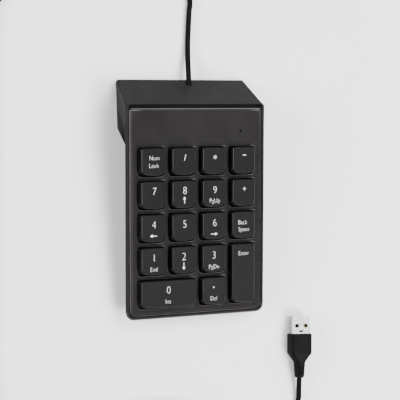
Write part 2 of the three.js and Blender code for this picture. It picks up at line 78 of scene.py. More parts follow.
STEM = dict(radius=2.85, bottom=-2.8)
SLEEVE = dict(inner=3.25, outer=4.3, top=-0.6)
LED = dict(x=27.9, y=55.2, radius=0.75)
FOOT = dict(x=30.0, front=-43.0, rear=78.0, half=6.5, deep=3.0)
CASE_SCREWS = [(-19, 28.5), (19, 28.5), (-19, -9.5), (19, -9.5), (-34.5, 58), (34.5, 58)]
HUMP_SCREWS = 50.0             # the case screws behind this line are in the hump
SCREW = dict(hole=1.1, recess=2.3, head=1.9, seat=-7.8, shank=0.8, tip=-3.2)
MAT = dict(half=38.2, front=-47.2, rear=47.2, top=-5.4, bottom=-6.2, post_hole=2.6)
DOME = dict(foot=3.1, crown=1.7, top=-2.9, wall=0.6)
WIRE_ARM = 8.0                 # a stabiliser wire's run from pivot to bar
WIRE_BAR = 0.6                 # height of its bar
CORD_RADIUS = 1.6
CORD_LIFT = 0.1                # gap between the coil and the desk
COIL = dict(x=-30.0, y=-145.2, radius=17.4, turns=4)

# Each key: column and row in pitches from the middle of the field, and how many pitches it spans.
KEYS = {
    "key_num_lock": (-1.5, 2), "key_divide": (-0.5, 2), "key_multiply": (0.5, 2), "key_minus": (1.5, 2),
    "key_7": (-1.5, 1), "key_8": (-0.5, 1), "key_9": (0.5, 1), "key_plus": (1.5, 1),
    "key_4": (-1.5, 0), "key_5": (-0.5, 0), "key_6": (0.5, 0), "key_backspace": (1.5, 0),
    "key_1": (-1.5, -1), "key_2": (-0.5, -1), "key_3": (0.5, -1), "key_enter": (1.5, -1.5, 1, 2),
    "key_0": (-1, -2, 2, 1), "key_decimal": (0.5, -2),
}

# ---- The camera and the cord ----
CAMERA = dict(eye=(-295.6, -14.4, 695.8), forward=(0.4017, 0.0170, -0.9156), up=(0.0322, 0.9989, 0.0327),
              lens=114.9)
CORD_EXIT = (3.3, 66.7, 5.3)
LEAD_ROUTE = [(3.3, 67.3, 5.3), (3.4, 71.5, 5.2), (3.8, 77, 4.3), (4.5, 84, 2.7), (5.2, 91, 1.8),
              (6.1, 101, 1.7), (7, 110, 1.7), (7.8, 118, 1.7), (5.6, 125, 1.7), (-1.5, 128, 1.7),
              (-14, 127, 1.7), (-45, 123.5, 1.7), (-85, 120.6, 1.7), (-102, 118.5, 1.7),
              (-110.6, 111.5, 1.7), (-112.4, 100, 1.7), (-114.5, 55, 1.7), (-116.5, 5, 1.7),
              (-119, -50, 1.7), (-121, -98, 1.7), (-118, -109, 1.7), (-108, -115.4, 1.7),
              (-85, -117.2, 1.7), (-62, -119.5, 1.7), (-41.9, -121.4, 1.7)]
TAIL_ROUTE = [(-18.1, -121.4, 4.9), (-8, -122, 3.7), (4, -124.2, 2.2), (22, -129, 1.7),
              (45, -135.5, 1.7), (57, -137.6, 1.7), (65.4, -133.8, 1.7), (68.6, -126, 1.9),
              (68.8, -119, 2.9), (68.85, -114, 3.7), (68.92, -111.6, 4)]
PLUG = dict(x=68.93, y=-111.2, z=4.0, turn=-3.1)
OVERMOULD = dict(length=26.1, width=14.7, height=8.0)
SHELL = dict(width=12.0, height=4.5, length=10.9, wall=0.32)


def camera():
    data = bpy.data.cameras.new("camera")
    data.lens = CAMERA["lens"]
    data.sensor_width = 36
    back = -Vector(CAMERA["forward"]).normalized()
    right = Vector(CAMERA["up"]).cross(back).normalized()
    obj = bpy.data.objects.new("camera", data)
    obj.matrix_world = Matrix((right, back.cross(right), back)).transposed().to_4x4()
    obj.matrix_world.translation = Vector(CAMERA["eye"]) * MM
    bpy.context.scene.collection.objects.link(obj)
    bpy.context.scene.camera = obj


def coil_turns():
    """Centreline of the wound length: a layer wound inwards, then one wound outwards on top of it,
    clockwise from above, from the ring's rearmost point back to it."""
    per_turn = 16
    spread = CORD_RADIUS * 2 * COIL["turns"]
    count = round(per_turn * COIL["turns"])
    points = []
    for layer in (0, 1):
        for k in range(count + 1):
            share = k / count
            inward = share if layer == 0 else 1 - share
            radius = COIL["radius"] + spread / 2 - spread * inward
            angle = math.pi / 2 - 2 * math.pi * COIL["turns"] * (share + layer)
            points.append((COIL["x"] + radius * math.cos(angle), COIL["y"] + radius * math.sin(angle),
                           CORD_RADIUS + CORD_LIFT + layer * 2 * CORD_RADIUS))
    # The last point of the lower layer and the first of the upper one lie over each other: both go.
    return points[:count] + points[count + 2:]


def cord():
    data = bpy.data.curves.new("usb_cord", "CURVE")
    data.dimensions = "3D"
    data.resolution_u = 8
    data.bevel_depth = CORD_RADIUS * MM
    data.bevel_resolution = 5
    data.use_fill_caps = True
    route = LEAD_ROUTE + coil_turns() + TAIL_ROUTE
    spline = data.splines.new("BEZIER")
    spline.bezier_points.add(len(route) - 1)
    for point, place in zip(spline.bezier_points, route):
        point.co = Vector(place) * MM
        point.handle_left_type = point.handle_right_type = "AUTO"
    obj = bpy.data.objects.new("usb_cord", data)
    data.materials.append(MATERIALS["jacket"])
    return join_object(obj, ["cord_lead", "cord_coil", "cord_tail"])


def deck_placement():
    """The deck frame in the row's, from the way the keys go and from where the top cover lies."""
    press = next(joint for joint in frame["joints"] if joint["name"] == "key_5_press")
    normal = -Vector(press["axis"])
    across = Vector((1, 0, 0))
    rearward = normal.cross(across)
    points = [vertex.co for vertex in frame["nodes"]["top_cover"].data.vertices]
    face = max(point.dot(normal) for point in points)
    front = min(point.dot(rearward) for point in points)
    place = Matrix((across, rearward, normal)).transposed().to_4x4()
    place.translation = normal * face + rearward * (front - DECK["front"] * MM)
    return place @ Matrix.Scale(MM, 4)


ON_DECK = deck_placement()
DECK_TILT = math.asin(-ON_DECK[1][2] / MM)
ON_DESK = Matrix.Scale(MM, 4)
ON_PLUG = (ON_DESK @ Matrix.Translation((PLUG["x"], PLUG["y"], PLUG["z"]))
           @ Matrix.Rotation(math.radians(PLUG["turn"]), 4, "Z"))
UPRIGHT = ON_PLUG @ Matrix.Rotation(math.radians(90), 4, "X")


# ---- Meshes ----
def arc(cx, cy, radius, start, end, steps):
    """Points of an arc from one angle to another, in degrees."""
    angles = [math.radians(start + (end - start) * k / steps) for k in range(steps + 1)]
    return [(cx + radius * math.cos(a), cy + radius * math.sin(a)) for a in angles]


def circle(cx, cy, radius, steps=24):
    return arc(cx, cy, radius, 0, 360, steps)[:-1]


def quarter(radius, steps):
    """A quarter round, from its foot up: how far in and how far down each step is."""
    turns = [math.pi / 2 * k / steps for k in range(steps + 1)]
    return [(radius * (1 - math.cos(turn)), radius * (1 - math.sin(turn))) for turn in turns]


def between(a, b, steps):
    """Points inside the straight line from a to b."""
    return [(a[0] + (b[0] - a[0]) * k / steps, a[1] + (b[1] - a[1]) * k / steps) for k in range(1, steps)]


def outline(left, right, front, rear, front_radius, rear_radius, smile=0.0, cut=0.0, steps=6, along=2):
    """Rounded rectangle, counter-clockwise from above. The front edge is arched by `smile` degrees at its
    ends, and `front` is its foremost point. `cut` is the leg of a chamfer at the rear corners."""
    bend = math.radians(smile)
    mid = (left + right) / 2
    chord = (right - left) / 2 - front_radius * (1 - math.sin(bend))
    cy = front + chord * math.tan(bend / 2) + front_radius * math.cos(bend)
    points = arc(left + front_radius, cy, front_radius, 180, 270 - smile, steps)
    if smile:
        size = chord / math.sin(bend)
        points += arc(mid, front + size, size, 270 - smile, 270 + smile, 2 * along)[1:-1]
    else:
        points += between((mid - chord, front), (mid + chord, front), 2 * along)
    points += arc(right - front_radius, cy, front_radius, 270 + smile, 360, steps)
    inset = max(rear_radius, cut + rear_radius * math.tan(math.pi / 8))
    points += between((right, cy), (right, rear - inset), along)
    half = steps // 2
    points += arc(right - rear_radius, rear - inset, rear_radius, 0, 45, half)
    points += arc(right - inset, rear - rear_radius, rear_radius, 45, 90, half)
    points += between((right - inset, rear), (left + inset, rear), 2 * along)
    points += arc(left + inset, rear - rear_radius, rear_radius, 90, 135, half)
    points += arc(left + rear_radius, rear - inset, rear_radius, 135, 180, half)
    return points + between((left, rear - inset), (left, cy), along)


class Skin:
    """The points and faces of one mesh, in millimetres."""

    def __init__(self):
        self.points = []
        self.faces = []

    def ring(self, line, height):
        """Adds a closed line at a height, which is a number or a function of x and y."""
        first = len(self.points)
        for x, y in line:
            self.points.append((x, y, height(x, y) if callable(height) else height))
        return list(range(first, len(self.points)))

    def turned(self, x, y, profile, steps=24):
        """Adds a circle for each radius and height of a profile turned about a point."""
        return [self.ring(circle(x, y, radius, steps), z) for radius, z in profile]

    def wall(self, *rings):
        """Joins each ring to the next one."""
        for low, high in zip(rings, rings[1:]):
            for k in range(len(low)):
                n = (k + 1) % len(low)
                self.faces.append((low[k], low[n], high[n], high[k]))

    def fan(self, ring):
        """Closes a ring with triangles to its middle."""
        middle = sum((Vector(self.points[k]) for k in ring), Vector()) / len(ring)
        self.points.append(tuple(middle))
        for k in range(len(ring)):
            self.faces.append((ring[k], ring[(k + 1) % len(ring)], len(self.points) - 1))

    def fill(self, *rings):
        """Covers the flat area inside the first ring and outside the others."""
        where = [k for ring in rings for k in ring]
        flat = [Vector(self.points[k][:2]) for k in where]
        edges, loops, first = [], [], 0
        for ring in rings:
            edges += [(first + k, first + (k + 1) % len(ring)) for k in range(len(ring))]
            loops.append(flat[first:first + len(ring)])
            first += len(ring)
        made, _, triangles, origin, _, _ = delaunay_2d_cdt(flat, edges, [], 0, 1e-7)
        for triangle in triangles:
            centre = sum((made[k] for k in triangle), Vector((0, 0))) / 3
            if sum(inside(centre, loop) for loop in loops) == 1:
                self.faces.append(tuple(where[origin[k][0]] for k in triangle))

    def solid(self, *rings):
        """A closed body through rings listed in order."""
        self.wall(*rings)
        self.fan(rings[0])
        self.fan(rings[-1])


def inside(point, loop):
    """Whether a flat point is inside a closed line."""
    odd = False
    for a, b in zip(loop, loop[1:] + loop[:1]):
        if (a.y > point.y) != (b.y > point.y):
            if point.x < a.x + (point.y - a.y) / (b.y - a.y) * (b.x - a.x):
                odd = not odd
    return odd


def join_object(obj, replaced=(), body="case"):
    """Links a piece, says its body, and hides the CAD nodes it stands for."""
    bpy.context.scene.collection.objects.link(obj)
    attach(obj, body)
    if replaced:
        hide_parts(*replaced)
    return obj


def mesh_of(name, skin, place=Matrix.Identity(4)):
    """A mesh of a skin, set at its place, its faces pointing out."""
    mesh = bpy.data.meshes.new(name)
    mesh.from_pydata([place @ Vector(point) for point in skin.points], [], skin.faces)
    work = bmesh.new()
    work.from_mesh(mesh)
    bmesh.ops.remove_doubles(work, verts=work.verts, dist=1e-7)
    bmesh.ops.recalc_face_normals(work, faces=work.faces)
    work.to_mesh(mesh)
    work.free()
    return mesh


def box_rings(skin, x0, x1, y0, y1, z0, z1):
    corners = [(x0, y0), (x1, y0), (x1, y1), (x0, y1)]
    return skin.ring(corners, z0), skin.ring(corners, z1)


def block(*sides):
    """The mesh of a box, to cut with."""
    skin = Skin()
    skin.solid(*box_rings(skin, *sides))
    return mesh_of("block", skin)


def finish_mesh(obj, material, crease=35):
    """Smooth shading up to an angle between faces, with flat faces kept flat."""
    obj.data.materials.clear()
    obj.data.materials.append(material)
    obj.data.shade_smooth()
    obj.data.set_sharp_from_angle(angle=math.radians(crease))
    weighted = obj.modifiers.new("flat faces", "WEIGHTED_NORMAL")
    weighted.keep_sharp = True
    return obj


def polish_and_highlight_edges(obj, material):
    """Gives the rounded edges of a moulding a smoother finish; with the keys' edge material they are also
    lighter in colour, as painted highlight. It goes on small faces that are neither flat nor upright, and
    that don't face the rear."""
    smallest, largest = 0.045, 8.0      # areas in square mm
    upright, flat, rear_facing = 0.2, 0.97, 0.3
    obj.data.materials.append(material)
    _, rearward, normal = [column.normalized() for column in ON_DECK.to_3x3().transposed()]
    for face in obj.data.polygons:
        tilted = upright < face.normal.dot(normal) < flat and face.normal.dot(rearward) < rear_facing
        if tilted and smallest < face.area / (MM * MM) < largest:
            face.material_index = 1
    return obj


def piece(name, skin, material, replaced=(), body="case", place=ON_DECK, crease=35):
    obj = bpy.data.objects.new(name, mesh_of(name, skin, place))
    join_object(obj, replaced, body)
    return finish_mesh(obj, material, crease)


def carved_piece(name, mesh, place, material, replaced, crease=35):
    """A piece from a mesh that was joined and cut in its own frame."""
    mesh.transform(place)
    return finish_mesh(join_object(bpy.data.objects.new(name, mesh), replaced), material, crease)


def cut(target, tools, operation):
    """Joins or cuts meshes with a mesh, all at their places, and returns the result."""
    scene = bpy.context.scene
    base = bpy.data.objects.new("work", target)
    scene.collection.objects.link(base)
    used = [base]
    for tool in tools:
        other = bpy.data.objects.new("tool", tool)
        scene.collection.objects.link(other)
        other.hide_render = True
        change = base.modifiers.new("cut", "BOOLEAN")
        change.operation = operation
        change.solver = "EXACT"
        change.object = other
        used.append(other)
    result = bpy.data.meshes.new_from_object(base.evaluated_get(bpy.context.evaluated_depsgraph_get()))
    for obj in used:
        bpy.data.objects.remove(obj)
    return result


# ---- Keys ----
def key_place(name):
    """Middle of a key and how far it spans beyond one pitch, each way."""
    column, row, wide, tall = (KEYS[name] + (1, 1))[:4]
    return column * PITCH, row * PITCH, (wide - 1) * PITCH / 2, (tall - 1) * PITCH / 2


def around(name, half, front, rear, front_radius, rear_radius, smile=0.0):
    """Outline about the middle of a key, of a size given for a key of one pitch."""
    x, y, span_x, span_y = key_place(name)
    return outline(x - span_x - half, x + span_x + half, y - span_y - front, y + span_y + rear,
                   front_radius, rear_radius, smile, along=4)


def key_surface(name):
    """Height of a key's hollow top over the deck, as a function of x and y."""
    x, y, span_x, span_y = key_place(name)
    half_x, half_y = span_x + CAP_TOP["half"], span_y + CAP_TOP["rear"]

    def height(px, py):
        across = min(1, ((px - x) / half_x) ** 2)
        along = min(1, ((py - y) / half_y) ** 2)
        return KEY_RISE - DISH * (1 - across) * (1 - along)
    return height


def cap_section(name, rise, inset):
    """Outline of a keycap at a height, drawn in by an inset: its sides slope and its front is arched."""
    share = (rise - CAP_BASE["z"]) / (KEY_RISE - CAP_BASE["z"])
    size = {side: CAP_BASE[side] + (CAP_TOP[side] - CAP_BASE[side]) * share - inset
            for side in ("half", "front", "rear")}
    smile = 2 if name == "key_0" else 11
    return around(name, size["half"], size["front"], size["rear"], max(0.6, 2.9 - 0.7 * inset),
                  max(0.3, 1.0 - 0.7 * inset), smile)


def keycap(name):
    x, y, span_x, span_y = key_place(name)
    skin = Skin()
    surface = key_surface(name)
    rings = [skin.ring(cap_section(name, CAP_BASE["z"], 0.12), CAP_BASE["z"]),
             skin.ring(cap_section(name, CAP_BASE["z"] + 0.15, 0), CAP_BASE["z"] + 0.15)]
    for inset, drop in quarter(0.42, 4):
        rings.append(skin.ring(cap_section(name, KEY_RISE - drop, inset), KEY_RISE - drop))
    top = [(skin.points[k][0], skin.points[k][1]) for k in rings[-1]]
    for share in (0.93, 0.8, 0.6, 0.35):
        rings.append(skin.ring([(x + (px - x) * share, y + (py - y) * share) for px, py in top], surface))
    skin.wall(*rings)
    skin.fan(rings[-1])
    ceiling = KEY_RISE - CAP_ROOF
    hollow = [skin.ring(cap_section(name, rise, CAP_WALL), rise) for rise in (CAP_BASE["z"], ceiling)]
    stem = skin.turned(x, y, ((STEM["radius"], ceiling), (STEM["radius"], STEM["bottom"] + 0.3),
                              (STEM["radius"] - 0.3, STEM["bottom"])))
    skin.wall(rings[0], hollow[0], hollow[1])
    skin.fill(hollow[1], stem[0])
    skin.wall(*stem)
    skin.fan(stem[-1])
    for corners in wire_hooks(name):
        skin.solid(*box_rings(skin, *corners))
    cap = piece(name + "_cap", skin, MATERIALS["key"], [name], name)
    # The rounded edges get a glossier finish and a lighter colour than the top: the lighter colour is painted
    # highlight.
    return polish_and_highlight_edges(cap, MATERIALS["key edge gloss and painted highlight"])


def wire_hooks(name):
    """Boxes of the hooks under a long key that carry its wire: a leg from the ceiling, a toe under it."""
    x, y, span_x, span_y = key_place(name)
    toe = WIRE_BAR - 0.7
    boxes = []
    for along in (-8, 8):
        for low, high, top in ((-1.7, -0.8, KEY_RISE - 1), (-0.9, 1.1, toe)):
            if span_x:
                bar = y + WIRE_ARM / 2 + 0.8
                boxes.append((x + along - 1, x + along + 1, bar + low, bar + high, toe - 0.6, top))
            elif span_y:
                bar = x - WIRE_ARM / 2 - 0.8
                boxes.append((bar - high, bar - low, y + along - 1, y + along + 1, toe - 0.6, top))
    return boxes


# Each mark on a key: its words, their look and their middle from the key's middle. A look is the height of
# a capital, the width as a share of the font's own, and how far its strokes are drawn in at a size of 10.
DIGIT, WORD = (4.15, 0.9, 0.28), (2.4, 0.87, 0.24)
LEGENDS = {
    "key_num_lock": [("Num", WORD, 0.6, 2.4), ("Lock", WORD, 0.45, -2.0)],
    "key_divide": [("/", (3.5, 0.9, 0.0), 0.55, 2.4)],
    "key_multiply": [("*", (2.4, 1.0, 0.05), 0.45, 2.3)],
    "key_minus": [("-", (0.4, 1.0), 0.2, 3.2)],
    "key_plus": [("+", (2.3, 0.95, 0.2), 0.3, 2.4)],
    "key_7": [("7", DIGIT, 0.7, 2.4)],
    "key_8": [("8", DIGIT, 0.45, 2.4), ("arrow", 90, 0.25, -3.1)],
    "key_9": [("9", DIGIT, 0.4, 2.2), ("PgUp", WORD, 0.3, -3.9)],
    "key_4": [("4", DIGIT, 0.3, 2.3), ("arrow", 180, 0.0, -4.1)],
    "key_5": [("5", DIGIT, 0.4, 2.1)],
    "key_6": [("6", DIGIT, 0.35, 2.2), ("arrow", 0, 0.0, -4.4)],
    "key_1": [("1", DIGIT, 0.5, 2.3), ("End", WORD, 0.3, -4.3)],
    "key_2": [("2", DIGIT, 0.0, 2.3), ("arrow", 270, -0.15, -3.3)],
    "key_3": [("3", DIGIT, -0.1, 2.2), ("PgDn", WORD, -0.1, -4.5)],
    "key_0": [("0", DIGIT, -0.1, 2.4), ("Ins", WORD, -0.4, -4.3)],
    "key_decimal": [(".", (0.75, 1.0), -0.2, 2.3), ("Del", WORD, -0.2, -4.2)],
    "key_backspace": [("Back", WORD, -0.7, 1.7), ("Space", WORD, 0.1, -2.3)],
    "key_enter": [("Enter", WORD, 0.1, 12.0)],
}


def arrow(turn):
    """An arrow that points along X and is turned, in degrees: outline of a shaft and a head."""
    half, head, shaft, wing = 2.05, 1.5, 0.17, 0.92
    points = [(-half, -shaft), (half - head, -shaft), (half - head, -wing), (half, 0),
              (half - head, wing), (half - head, shaft), (-half, shaft)]
    spin = Matrix.Rotation(math.radians(turn), 2)
    return [tuple(spin @ Vector(point)) for point in points], [tuple(range(len(points)))]


def words(text, height, share, slim=0.28):
    """Flat letters of the built-in font, a capital or digit as tall as said, centred on the origin."""
    data = bpy.data.curves.new("words", "FONT")
    data.body = text
    data.size = 10
    data.offset = -slim
    data.resolution_u = 4
    obj = bpy.data.objects.new("words", data)
    mesh = obj.to_mesh()
    points = [(vertex.co.x, vertex.co.y) for vertex in mesh.vertices]
    faces = [tuple(face.vertices) for face in mesh.polygons]
    obj.to_mesh_clear()
    bpy.data.objects.remove(obj)
    low = 0 if text.isalnum() else min(y for _, y in points)
    high = max(y for _, y in points)
    middle = (min(x for x, _ in points) + max(x for x, _ in points)) / 2
    scale = height / (high - low)
    return [((x - middle) * scale * share, (y - (low + high) / 2) * scale) for x, y in points], faces


def legend(name):
    """The white marks of a key, one mesh that lies just above its surface."""
    x, y, _, _ = key_place(name)
    surface = key_surface(name)
    lift = 0.03
    skin = Skin()
    for text, look, dx, dy in LEGENDS[name]:
        points, faces = arrow(look) if text == "arrow" else words(text, *look)
        first = len(skin.points)
        for px, py in points:
            px, py = px + x + dx, py + y + dy
            skin.points.append((px, py, surface(px, py) + lift))
        skin.faces += [tuple(first + k for k in face) for face in faces]
    mesh = bpy.data.meshes.new(name + "_legend")
    mesh.from_pydata([ON_DECK @ Vector(point) for point in skin.points], [], skin.faces)
    mesh.materials.append(MATERIALS["ink"])
    obj = bpy.data.objects.new(name + "_legend", mesh)
    return join_object(obj, body=name)


# ---- Case ----
def deck_line(side, rear, radius_less=0.0):
    """Outline of the deck drawn in by `side` at the sides and the front, and by `rear` at the rear."""
    return outline(-DECK["half"] + side, DECK["half"] - side, DECK["front"] + side, DECK["rear"] - rear,
                   DECK["front_radius"] - radius_less, max(0.3, DECK["rear_radius"] - radius_less),
                   steps=8, along=6)


def window_line(name, out):
    """Outline of a key's window, wider by `out` all round."""
    return around(name, WINDOW + out, WINDOW + out, WINDOW + out - 0.05, WINDOW_RADIUS["front"] + out,
                  WINDOW_RADIUS["rear"] + out)


def top_cover():
    skin = Skin()
    thick = DECK["thick"]
    rings = [skin.ring(deck_line(0, 0), -thick)]
    side, rear = 0.55, 0.95
    for share, drop in quarter(1, 5):
        rings.append(skin.ring(deck_line(side * share, rear * share, side * share), -side * drop))
    # A shallow step runs round the deck just inside its rounded edge.
    for more, depth in ((0.35, 0), (0.5, 0.1), (0.75, 0.1), (0.9, 0)):
        rings.append(skin.ring(deck_line(side + more, rear + more, side + more), -depth))
    skin.wall(*rings)
    windows, bores = [], []
    inner, outer, crest = SLEEVE["inner"], SLEEVE["outer"], SLEEVE["top"]
    for name in KEYS:
        x, y, _, _ = key_place(name)
        edges = [skin.ring(window_line(name, out), -down) for down, out in quarter(0.3, 3)]
        edges.append(skin.ring(window_line(name, 0), WELL_FLOOR))
        skin.wall(*edges)
        sleeve = skin.turned(x, y, ((outer, WELL_FLOOR), (outer, crest - 0.2), (outer - 0.2, crest),
                                    (inner + 0.2, crest), (inner, crest - 0.2), (inner, WELL_BASE)))
        skin.wall(*sleeve)
        skin.fill(edges[-1], sleeve[0])
        windows.append(edges[0])
        bores.append(sleeve[-1])
    lamp = skin.turned(LED["x"], LED["y"], ((LED["radius"] + 0.12, 0), (LED["radius"], -0.12),
                                            (LED["radius"], -thick)), 20)
    skin.wall(*lamp)
    skin.fill(rings[-1], lamp[0], *windows)
    well = case_line(KEY_FIELD["half"], KEY_FIELD["front"], KEY_FIELD["rear"], KEY_FIELD["radius"], 1)
    field = [skin.ring(well, z) for z in (-thick, WELL_BASE)]
    skin.wall(*field)
    skin.fill(rings[0], lamp[-1], field[0])
    skin.fill(field[1], *bores)
    for x, y in CASE_SCREWS:
        foot = -4.7 if y > HUMP_SCREWS else -6.9
        top = -thick if y > HUMP_SCREWS else WELL_BASE
        skin.solid(*skin.turned(x, y, ((2.1, foot), (2.1, top + 0.4)), 16))
    cover = piece("deck_cover", skin, MATERIALS["case"], ["top_cover"], crease=32)
    return polish_and_highlight_edges(cover, MATERIALS["case edge"])


def case_line(half, front, rear, front_radius, rear_radius, cut=0.0):
    return outline(-half, half, front, rear, front_radius, rear_radius, cut=cut, steps=8)


def body_line(half, front, rear, front_radius=5.0, less=0.0):
    """Outline of the case's outside, with a narrow chamfer down its rear corners."""
    return case_line(half, front, rear, front_radius, 0.4, cut=max(0.2, 1.25 - 0.5 * less))


def rear_wall(z):
    """How far back the sloping rear wall is at a height."""
    return RIM["rear"] + (RIM["top"] - z) * REAR_SLOPE


def underside(rise=0.0):
    """Height of the hump's sloping underside, raised by `rise`, as a function of x and y."""
    slope = (HUMP["rear_z"] - HUMP["front_z"]) / (HUMP["rear"] - HUMP["front"])
    return lambda x, y: HUMP["front_z"] + (y - HUMP["front"]) * slope + rise


def bottom_cover():
    rim = Skin()
    # Heights of the rim's rounded profile, and how far each is drawn in at the sides and at the rear.
    profile = [(RIM["foot"], 0.4, 0), (-2.0, 0.12, 0), (-1.6, 0.02, 0), (-1.2, 0, 0), (-0.9, 0.08, 0),
               (-0.7, 0.24, 0), (-0.58, 0.48, 0), (-0.54, 0.62, 0.02), (RIM["top"], 0.8, 0.04)]
    rim.solid(*[rim.ring(body_line(RIM["half"] - side, RIM["front"] + side, rear_wall(z) - rear, 5 - side), z)
                for z, side, rear in profile])
    slab = Skin()
    levels = [(SLAB["bottom"] + rise, less) for rise, less in ((0, 0.9), (0.1, 0.5), (0.35, 0.2), (0.8, 0))]
    lines = [slab.ring(body_line(SLAB["half"] - less, SLAB["front"] + less, SLAB["rear"], 4), z)
             for z, less in levels]
    lines.append(slab.ring(body_line(RIM["half"] - 0.4, RIM["front"] + 0.4, 66), RIM["foot"] + 0.2))
    slab.solid(*lines)
    hump = Skin()
    lines = []
    for rise, less in quarter(0.45, 4):
        line = body_line(HUMP["half"] - less, HUMP["front"] + less, HUMP["rear"] - less, 2, less)
        lines.append(hump.ring(line, underside(rise)))
    lines.append(hump.ring(body_line(RIM["half"] - 0.4, HUMP["top_front"], rear_wall(RIM["foot"]), 2),
                           RIM["foot"]))
    hump.solid(*lines)
    pocket = Skin()
    pocket.solid(*[pocket.ring(case_line(POCKET["half"] + out, POCKET["front"] - out, POCKET["rear"], 3.6,
                                         1.0), z)
                   for z, out in ((POCKET["floor"], 0), (RIM["top"] - 0.15, 0), (RIM["top"] + 0.2, 0.3))])
    slab_room = Skin()
    slab_room.solid(slab_room.ring(case_line(SLAB["half"] - 1, SLAB["front"] + 1, SLAB["rear"] - 2, 4, 2),
                                   SLAB["bottom"] + 1.8),
                    slab_room.ring(case_line(40.3, -49.4, 64, 4, 2), POCKET["floor"] + 0.5))
    hump_room = Skin()
    hump_room.solid(
        hump_room.ring(case_line(HUMP["half"] - WALL, HUMP["front"] + 2, HUMP["rear"] - 2.6, 1.5, 1.5),
                       underside(WALL)),
        hump_room.ring(case_line(40.3, HUMP["top_front"] + 3, 67, 1.5, 1.5), POCKET["floor"] + 0.5))
    rooms = [mesh_of("room", room) for room in (pocket, slab_room, hump_room)]
    # The gap behind the deck goes deeper than the seat that the deck lies on.
    rooms.append(block(-HUMP["half"], HUMP["half"], DECK["rear"] - 0.4, POCKET["rear"] - 0.1, -3.2, -1))
    shell = cut(mesh_of("case", rim), [mesh_of("slab", slab), mesh_of("hump", hump)], "UNION")
    shell = cut(shell, rooms, "DIFFERENCE")
    columns, holes = Skin(), Skin()
    for x, y in CASE_SCREWS:
        if y > HUMP_SCREWS:
            columns.solid(*columns.turned(x, y, ((3.4, -21.2), (3.4, -5))))
        holes.solid(*holes.turned(x, y, ((SCREW["recess"], -30), (SCREW["recess"], SCREW["seat"]),
                                         (SCREW["hole"], SCREW["seat"]), (SCREW["hole"], 0))))
    for x in (-FOOT["x"], FOOT["x"]):
        edge = foot_line(x, FOOT["front"], 0.25)
        holes.solid(holes.ring(edge, SLAB["bottom"] - 2), holes.ring(edge, SLAB["bottom"] + 0.5))
        edge = foot_line(x, FOOT["rear"], 0.25)
        holes.solid(holes.ring(edge, underside(-3)), holes.ring(edge, underside(0.5)))
    shell = cut(shell, [mesh_of("columns", columns)], "UNION")
    shell = cut(shell, [mesh_of("holes", holes)], "DIFFERENCE")
    way_out = Skin()
    way_out.solid(*way_out.turned(0, 0, ((2.2, -8), (2.2, 6))))
    shell = cut(shell, [mesh_of("way out", way_out, cord_line())], "DIFFERENCE")
    body = carved_piece("case_body", shell, ON_DECK, MATERIALS["case"], ["bottom_cover"], 32)
    return polish_and_highlight_edges(body, MATERIALS["case edge"])


def cord_line():
    """The frame of the cord's exit in the deck frame: its Z runs out along the cord."""
    exit_point = ON_DECK.inverted() @ (Vector(CORD_EXIT) * MM)
    return (Matrix.Translation(exit_point) @ Matrix.Rotation(-DECK_TILT, 4, "X")
            @ Matrix.Rotation(math.radians(-90), 4, "X"))


def foot_line(x, y, out=0.0):
    return outline(x - FOOT["half"] - out, x + FOOT["half"] + out, y - FOOT["deep"] - out,
                   y + FOOT["deep"] + out, 2.8 + out, 2.8 + out, along=1)


def feet():
    """Four rubber pads with a rounded tread, flat on the desk and set into shallow seats."""
    slope = math.tan(DECK_TILT)
    desk_at = ON_DECK.inverted() @ Vector((0, 0, 0))
    for end, y, seat in (("front", FOOT["front"], lambda px, py: SLAB["bottom"] + 0.4),
                         ("rear", FOOT["rear"], underside(0.4))):
        for side, x in (("left", -FOOT["x"]), ("right", FOOT["x"])):
            skin = Skin()
            rings = []
            for out, rise in ((-0.8, 0.0), (-0.35, 0.08), (-0.08, 0.35), (0, 0.7)):
                rings.append(skin.ring(foot_line(x, y, out), lambda px, py, rise=rise:
                                       desk_at.z + (desk_at.y - py) * slope + rise))
            rings.append(skin.ring(foot_line(x, y), seat))
            skin.solid(*rings)
            piece(f"pad_{end}_{side}", skin, MATERIALS["rubber"], [f"foot_{end}_{side}"])


def screws():
    """Case screws: a pan head with a cross recess, deep in its seat, and a threaded shank."""
    for number, (x, y) in enumerate(CASE_SCREWS, 1):
        skin = Skin()
        seat = SCREW["seat"] - 0.3
        shape = [(0.9, seat - 1.35), (1.45, seat - 1.3), (1.8, seat - 1.0), (SCREW["head"], seat - 0.6),
                 (SCREW["head"], seat), (SCREW["shank"], seat)]
        z = seat
        while z < SCREW["tip"] - 0.8:
            shape += [(SCREW["shank"], z + 0.2), (SCREW["shank"] - 0.2, z + 0.35), (SCREW["shank"], z + 0.5)]
            z += 0.5
        shape.append((0.25, SCREW["tip"]))
        skin.solid(*skin.turned(x, y, shape, 20))
        cross = [block(x - long, x + long, y - wide, y + wide, seat - 2, seat - 0.65)
                 for long, wide in ((1.1, 0.24), (0.24, 1.1))]
        mesh = cut(mesh_of("screw", skin), cross, "DIFFERENCE")
        name = f"case_screw_{number}"
        carved_piece(name + "_head", mesh, ON_DECK, MATERIALS["steel"], [name])


def grommet():
    """Rubber ring round the cord's exit, sloping as the rear wall does, and the jacket inside it."""
    skin = Skin()
    lean = math.tan(math.atan(REAR_SLOPE) + DECK_TILT)
    stub = CORD_RADIUS - 0.03
    shape = [(2.1, -5), (2.1, 0.1), (2.03, 0.25), (1.9, 0.32), (1.72, 0.32), (stub, 0.2)]
    rings = [skin.ring(circle(0, 0, radius, 28), lambda x, y, z=z: z + lean * y) for radius, z in shape]
    rings.append(skin.ring(circle(0, 0, stub, 28), lambda x, y: max(0.7, 0.25 + lean * y)))
    skin.solid(*rings)
    return piece("cord_collar", skin, MATERIALS["rubber"], ["cord_grommet"],
                 place=ON_DECK @ cord_line())


